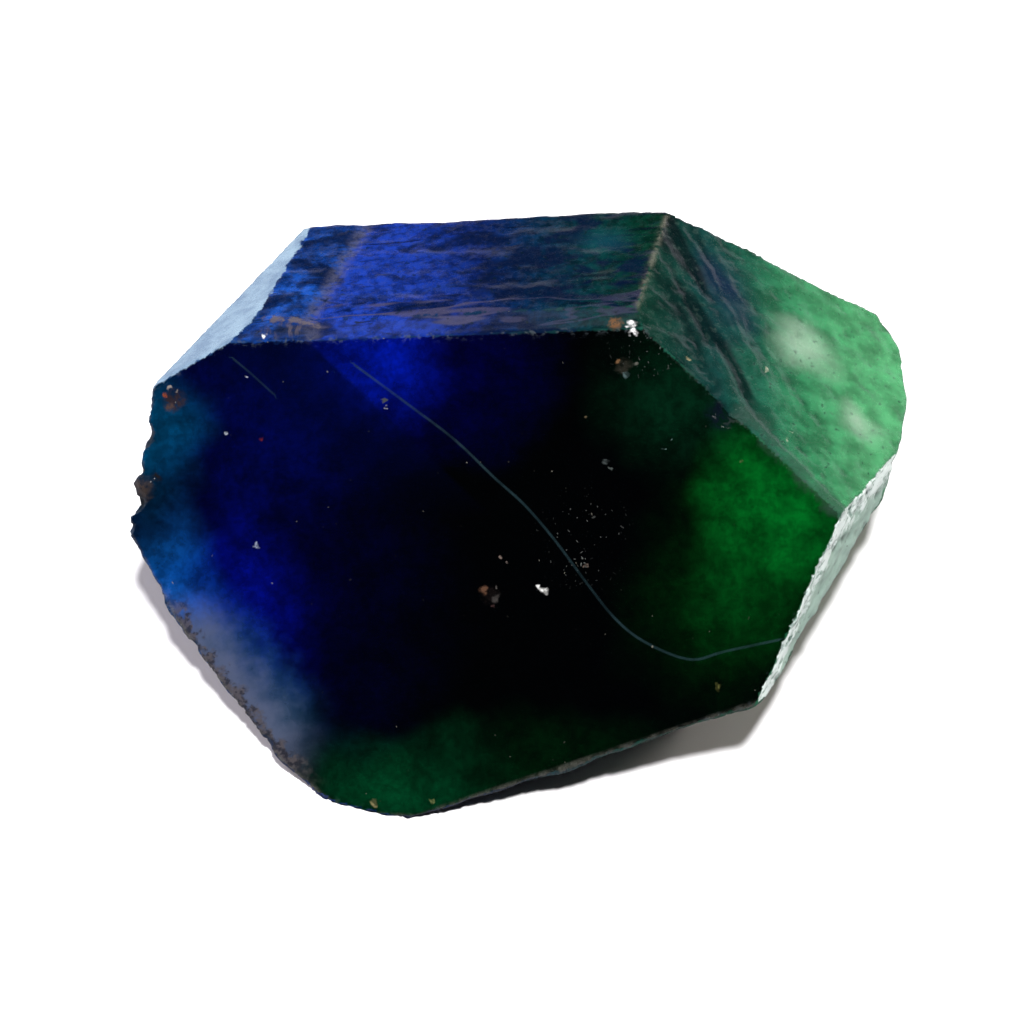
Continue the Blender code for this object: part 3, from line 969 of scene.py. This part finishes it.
def shoulder_colour(nodes, shared):
    """Dark green and blue by the ridges, light green to the tip, with two pale glows of painted light."""
    tint = nodes.ramp(nodes.span(shared.along_x, *SHOULDER_STRETCH, smooth=False), SHOULDER_COLOURS)
    tint = nodes.scaled(tint, nodes.span(shared.slow, 0.3, 0.7, 0.60, 1.30))
    patch = nodes.near(shared.warped, *BLUE_PATCH)
    tint = nodes.mix(nodes.times(patch, 0.85), tint, PATCH_NAVY)
    # Two painted glows, standing in for light inside the stone.
    for centre, radii in SHOULDER_GLOWS:
        glow = nodes.near(shared.warped, centre, radii)
        tint = nodes.mix(nodes.times(glow, 0.70), tint, PAINTED_SHOULDER_GLOW)
    return tint


def broken_colour(nodes, shared):
    """The broken faces all round: zoned like the rest, with ribs and chips."""
    tint = nodes.ramp(nodes.span(shared.along_x, *BROKEN_STRETCH, smooth=False), BROKEN_COLOURS)
    ribs = nodes.noise(nodes.stretched(shared.place, (0.30, 1.3, 1.3)), 1.2, 4.0, 0.6)
    tint = nodes.scaled(tint, nodes.span(ribs, 0.32, 0.68, 0.5, 1.6))
    chips = nodes.span(shared.middle, 0.60, 0.70)
    return nodes.mix(nodes.times(chips, 0.35), tint, CHIP_GREY)


def side_colour(nodes, shared):
    """The right side: mottled white and green by the table, the white partly a painted reflection, plainer
    and darker below as a painted shadow.
    """
    inputs = {"Vector": shared.place, "Angle": SIDE_TURN}
    turned = nodes.new("ShaderNodeVectorRotate", inputs, rotation_type="Z_AXIS").outputs[0]
    mottle = nodes.noise(nodes.stretched(turned, (0.9, 1.6, 1.6)), 2.6, 4.0, 0.70)
    # The white is partly a painted reflection.
    tint = nodes.mix(nodes.span(mottle, 0.36, 0.53), SIDE_GREEN, SIDE_WHITE_SHEEN)
    tint = nodes.mix(nodes.span(mottle, 0.40, 0.33, 0.0, 0.8), tint, SIDE_BLACK)
    # Below the top edge, the colours are a painted shadow.
    ragged_top = nodes.plus(nodes.field("top_edge"), nodes.span(mottle, 0.3, 0.7, -0.25, 0.25))
    low = nodes.mix(mottle, SHADOWED_SIDE_GREEN, SHADOWED_SIDE_PALE)
    return nodes.mix(nodes.span(ragged_top, -0.65, -1.15), tint, low)


def faces_colour(nodes, shared):
    """Each face's colour in its own place."""
    band = band_colour(nodes, shared)
    broken = broken_colour(nodes, shared)
    surface = nodes.mix(crisp(nodes, shared, "table"), broken, table_colour(nodes, shared))
    surface = nodes.mix(crisp(nodes, shared, "strip"), surface, band)
    surface = nodes.mix(crisp(nodes, shared, "band"), surface, band)
    surface = nodes.mix(crisp(nodes, shared, "shoulder"), surface, shoulder_colour(nodes, shared))
    # The pale facet's light colours are partly a painted reflection.
    pale = nodes.mix(nodes.span(shared.slow, 0.35, 0.68), PALE_SHEEN_WHITE, PALE_SHEEN_BLUE)
    surface = nodes.mix(crisp(nodes, shared, "pale"), surface, pale)
    surface = nodes.mix(crisp(nodes, shared, "side_right"), surface, side_colour(nodes, shared))
    by_bites = nodes.times(nodes.near(shared.place, *BITTEN_END), 0.9)
    by_bites = nodes.minus(by_bites, crisp(nodes, shared, "table"))
    return nodes.mix(by_bites, surface, BY_BITES_BLACK)


def with_hollows(nodes, shared, surface):
    """Hollows and furrows darker as painted shade, crests paler as a painted highlight, bites darker, and
    small pits on all but the smooth faces, painted dark as shade, with a painted highlight on their rims on
    the shoulder.
    """
    cavity = nodes.field("cavity")
    # Painted shade in hollows and furrows, and a painted highlight on crests.
    surface = nodes.mix(nodes.span(cavity, 0.0, -0.10, 0.0, 0.50), surface, HOLLOW_SHADE_BLACK)
    furrow = nodes.span(nodes.field("furrow"), 0.01, -0.05, 0.0, 0.80)
    surface = nodes.mix(furrow, surface, HOLLOW_SHADE_BLACK)
    surface = nodes.mix(nodes.span(cavity, 0.03, 0.12, 0.0, 0.06), surface, CREST_HIGHLIGHT_GREEN)
    surface = nodes.mix(nodes.times(nodes.field("bitten"), 0.75), surface, BITTEN_BLACK)

    # Painted pits: painted shade in each, and a painted highlight on the rims of those on the shoulder.
    distance, chance = nodes.cells(shared.shaken, 3.2)
    kept = nodes.span(chance["Blue"], 0.30, 0.50)
    reach = nodes.span(shared.slow, 0.35, 0.65, 0.10, 0.34, smooth=False)
    painted_rim_highlight = nodes.times(nodes.span(distance, nodes.times(reach, 1.8), reach), kept)
    painted_rim_highlight = nodes.times(painted_rim_highlight, nodes.field("shoulder"))
    pit = nodes.times(nodes.span(distance, reach, nodes.times(reach, 0.4)), kept)
    pitted = nodes.minus(1.0, nodes.plus(nodes.field("table"), nodes.field("base")))
    pitted = nodes.minus(pitted, nodes.field("pale"))
    surface = nodes.mix(nodes.times(painted_rim_highlight, 0.06), surface, PIT_RIM_HIGHLIGHT)
    return nodes.mix(nodes.times(nodes.times(pit, pitted), 0.6), surface, PIT_SHADE_BLACK)


def with_worn_edges(nodes, shared, surface):
    """Chipped edges round the table, and the pale edge between the band and the shoulder."""
    chipped = nodes.times(nodes.field("table_edge"), nodes.span(shared.quick, 0.54, 0.66))
    surface = nodes.mix(nodes.times(chipped, 0.55), surface, CHIPPED_GREY)
    steep = nodes.times(nodes.field("steep_edge"), nodes.span(shared.middle, 0.35, 0.6))
    surface = nodes.mix(nodes.times(steep, 0.8), surface, STEEP_EDGE_GREY)
    return surface


def with_cracks(nodes, shared, surface):
    """The healed cracks, thin pale lines that fade here and there."""
    fading = nodes.span(shared.slow, 0.3, 0.65, 0.35, 1.0)
    for name, width, strength in CRACK_LINES:
        line = nodes.span(nodes.size(nodes.field(name)), width, 0.3 * width)
        line = nodes.times(line, nodes.span(nodes.field(name + "_reach"), 0.24, 0.14))
        line = nodes.times(line, fading)
        surface = nodes.mix(nodes.times(line, strength), surface, CRACK_GREY)
    return surface


def with_lip(nodes, shared, surface):
    """The worn lip between the table and the shoulder."""
    lip = nodes.plus(nodes.field("lip"), nodes.span(shared.slow, 0.3, 0.7, -0.15, 0.25))
    return nodes.mix(nodes.times(nodes.span(lip, 0.55, 0.10), 0.5), surface, LIP_GREY)


def with_scar(nodes, shared, surface):
    """The scratched patch at the left end of the strip, with a pale crest."""
    patch = nodes.near(shared.place, *SCRATCHED_PATCH)
    surface = nodes.mix(nodes.times(patch, 0.8), surface, SCRATCHED_BLACK)
    raked = nodes.noise(nodes.stretched(shared.place, (3.2, 0.7, 0.7)), 1.6, 2.0, 0.7)
    rakes = nodes.times(patch, nodes.span(raked, 0.50, 0.62))
    surface = nodes.mix(nodes.times(rakes, 0.7), surface, RAKE_GREY)
    ragged = nodes.plus(nodes.field("scar"), nodes.span(shared.middle, 0.3, 0.7, -0.10, 0.16))
    return nodes.mix(nodes.times(nodes.span(ragged, 0.17, 0.03), 0.75), surface, CREST_GREY)


def with_marks(nodes, shared, surface):
    """Stains and flecks at their own places, and two white marks that are painted glints."""
    broken_up = nodes.span(shared.quick, 0.38, 0.54, 0.25, 1.0)
    for centre, radius, tint in MARKS:
        inputs = {0: shared.shaken, 1: centre}
        away = nodes.new("ShaderNodeVectorMath", inputs, operation="DISTANCE").outputs["Value"]
        shown = nodes.times(nodes.span(away, radius, 0.45 * radius), broken_up)
        surface = nodes.mix(shown, surface, colour(*tint))
    return surface


def with_dust(nodes, shared, surface):
    """Dust all over, and crowds of finer specks at two places on the table, partly flecks and partly painted
    sparkle.
    """
    distance, chance = nodes.cells(shared.shaken, 2.2)
    reach = nodes.span(shared.middle, 0.35, 0.65, 0.020, 0.105, smooth=False)
    speck = nodes.span(distance, reach, nodes.times(reach, 0.5))
    speck = nodes.times(speck, nodes.span(chance["Red"], 0.55, 0.95))
    surface = nodes.mix(nodes.times(speck, 0.65), surface, DUST)
    # Crowds of finer bright specks: partly flecks, partly painted sparkle.
    distance, chance = nodes.cells(shared.shaken, 6.5)
    speck = nodes.times(nodes.span(distance, 0.24, 0.07), nodes.span(chance["Green"], 0.30, 0.70))
    corner = nodes.times(nodes.near(shared.place, *DUST_AND_SPARKLE_CORNER), 0.6)
    crowd = nodes.plus(nodes.near(shared.place, *DUST_AND_SPARKLE_MIDDLE), corner)
    return nodes.mix(nodes.times(speck, crowd), surface, SPARKLE_GREY)


def surface_roughness(nodes, shared):
    """Smoothest on the table, dull on the right side, the worn edges and the bites."""
    table = nodes.span(shared.quick, 0.4, 0.8, 0.10, 0.20)
    others = nodes.span(shared.quick, 0.3, 0.7, 0.15, 0.32)
    roughness = nodes.blend(nodes.field("table"), others, table)
    roughness = nodes.blend(nodes.field("side_right"), roughness, SIDE_ROUGHNESS)
    worn = nodes.math("ADD", nodes.field("table_edge"), nodes.field("bitten"), clamp=True)
    return nodes.blend(worn, roughness, WORN_ROUGHNESS)


def tourmaline_material():
    material = bpy.data.materials.new("tourmaline_zoned")
    material.use_nodes = True
    tree = material.node_tree
    nodes = Nodes(tree)
    shared = Shared(nodes)
    surface = faces_colour(nodes, shared)
    surface = with_hollows(nodes, shared, surface)
    surface = with_worn_edges(nodes, shared, surface)
    surface = with_cracks(nodes, shared, surface)
    surface = with_lip(nodes, shared, surface)
    surface = with_scar(nodes, shared, surface)
    surface = with_marks(nodes, shared, surface)
    surface = with_dust(nodes, shared, surface)

    shader = tree.nodes["Principled BSDF"]
    nodes.put(surface, shader.inputs["Base Color"])
    shader.inputs["Transmission Weight"].default_value = TRANSMISSION
    shader.inputs["IOR"].default_value = TOURMALINE_IOR
    shader.inputs["Metallic"].default_value = 0.0
    nodes.put(surface_roughness(nodes, shared), shader.inputs["Roughness"])

    grain = nodes.noise(shared.place, GRAIN_PER_MM, 3.0, 0.6)
    strength = nodes.span(nodes.minus(1.0, nodes.field("table")), 0.0, 1.0, 0.05, 0.8, smooth=False)
    bump = nodes.new("ShaderNodeBump", {"Height": grain, "Strength": strength, "Distance": GRAIN_HEIGHT})
    nodes.put(bump.outputs[0], shader.inputs["Normal"])

    volume = nodes.new("ShaderNodeVolumeAbsorption", {"Color": ABSORBED, "Density": ABSORPTION_PER_METRE})
    nodes.put(volume.outputs[0], tree.nodes["Material Output"].inputs["Volume"])
    return material


# The table that the stone lies on, and the light.
FLOOR_HALF_WIDTH = 2.0
FLOOR_DROP = 0.00002
PAPER = colour(0.86, 0.85, 0.86)
MIRRORED_PAPER = colour(0.15, 0.15, 0.17)
WORLD_COLOUR = colour(0.97, 0.97, 1.0)
WORLD_LIGHT = 0.006
BACK_DISTANCE = 0.4
LAMP_DISTANCE = 0.35


def white_floor():
    """White paper, darker where the stone mirrors it, so that its polished faces keep their own colour."""
    mesh = bpy.data.meshes.new("floor")
    bm = bmesh.new()
    bmesh.ops.create_grid(bm, x_segments=1, y_segments=1, size=FLOOR_HALF_WIDTH)
    bm.to_mesh(mesh)
    bm.free()
    made = bpy.data.objects.new("floor", mesh)
    made.location = (0.0, 0.0, -FLOOR_DROP)
    bpy.context.scene.collection.objects.link(made)
    paper = bpy.data.materials.new("white_paper")
    paper.use_nodes = True
    nodes = Nodes(paper.node_tree)
    shader = paper.node_tree.nodes["Principled BSDF"]
    mirrored = nodes.new("ShaderNodeLightPath").outputs["Is Glossy Ray"]
    nodes.put(nodes.mix(mirrored, PAPER, MIRRORED_PAPER), shader.inputs["Base Color"])
    shader.inputs["Roughness"].default_value = 0.9
    mesh.materials.append(paper)
    return made


def lamp(name, kind, energy, towards, distance=0.0, tint=(1.0, 1.0, 1.0), seen=True, **settings):
    """A lamp in this direction from the stone, facing it, seen or not in its reflections."""
    data = bpy.data.lights.new(name, kind)
    data.energy = energy
    data.color = tint
    for key, value in settings.items():
        setattr(data, key, value)
    made = bpy.data.objects.new(name, data)
    direction = Vector(towards).normalized()
    made.location = direction * distance
    made.rotation_euler = direction.to_track_quat("Z", "Y").to_euler()
    made.visible_glossy = seen
    made.visible_transmission = seen
    bpy.context.scene.collection.objects.link(made)


def lamps():
    """A sun nearly overhead, a wide lamp behind, a lamp behind each end, and a small one for the glints."""
    key = {"seen": False, "angle": math.radians(8.0)}
    lamp("key", "SUN", 5.0, (0.07, -0.08, 1.0), **key)
    back = {"tint": (0.92, 0.92, 1.0), "shape": "RECTANGLE", "size": 0.4, "size_y": 0.12}
    lamp("back", "AREA", 0.05, (0.0, 0.75, 0.70), BACK_DISTANCE, **back)
    left = {"tint": (1.0, 0.93, 0.98), "seen": False, "size": 0.2}
    lamp("left", "AREA", 1.3, (-0.9, 0.45, 0.42), LAMP_DISTANCE, **left)
    right = {"tint": (1.0, 0.92, 0.84), "seen": False, "size": 0.2}
    lamp("right", "AREA", 1.2, (0.80, 0.58, 0.20), LAMP_DISTANCE, **right)
    lamp("spark", "AREA", 0.014, (0.15, 0.25, 0.95), LAMP_DISTANCE, shape="DISK", size=0.016)


def white_world():
    """White to the camera, and almost no light of its own."""
    world = bpy.data.worlds.new("studio")
    bpy.context.scene.world = world
    world.use_nodes = True
    background = world.node_tree.nodes["Background"]
    nodes = Nodes(world.node_tree)
    seen_directly = nodes.new("ShaderNodeLightPath").outputs["Is Camera Ray"]
    nodes.put(nodes.blend(seen_directly, WORLD_LIGHT, 1.0), background.inputs["Strength"])
    background.inputs["Color"].default_value = WORLD_COLOUR


def camera():
    data = bpy.data.cameras.new("camera")
    data.sensor_width = SENSOR
    data.lens = SENSOR * CAMERA_DISTANCE / FRAME_WIDTH
    data.clip_start = CLIP_START
    made = bpy.data.objects.new("camera", data)
    back = Vector((0.0, -math.cos(CAMERA_LIFT), math.sin(CAMERA_LIFT)))
    made.location = (Vector(TARGET) + back * CAMERA_DISTANCE) * METRES_PER_MM
    made.rotation_euler = back.to_track_quat("Z", "Y").to_euler()
    bpy.context.scene.collection.objects.link(made)
    bpy.context.scene.camera = made


stone = tourmaline_surface()
stone.data.materials.clear()
stone.data.materials.append(tourmaline_material())
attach(stone, "root")
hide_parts(NODE)
floor = white_floor()
lamps()
white_world()
camera()
bpy.context.scene.view_settings.view_transform = "Standard"
bpy.context.scene.cycles.use_denoising = True
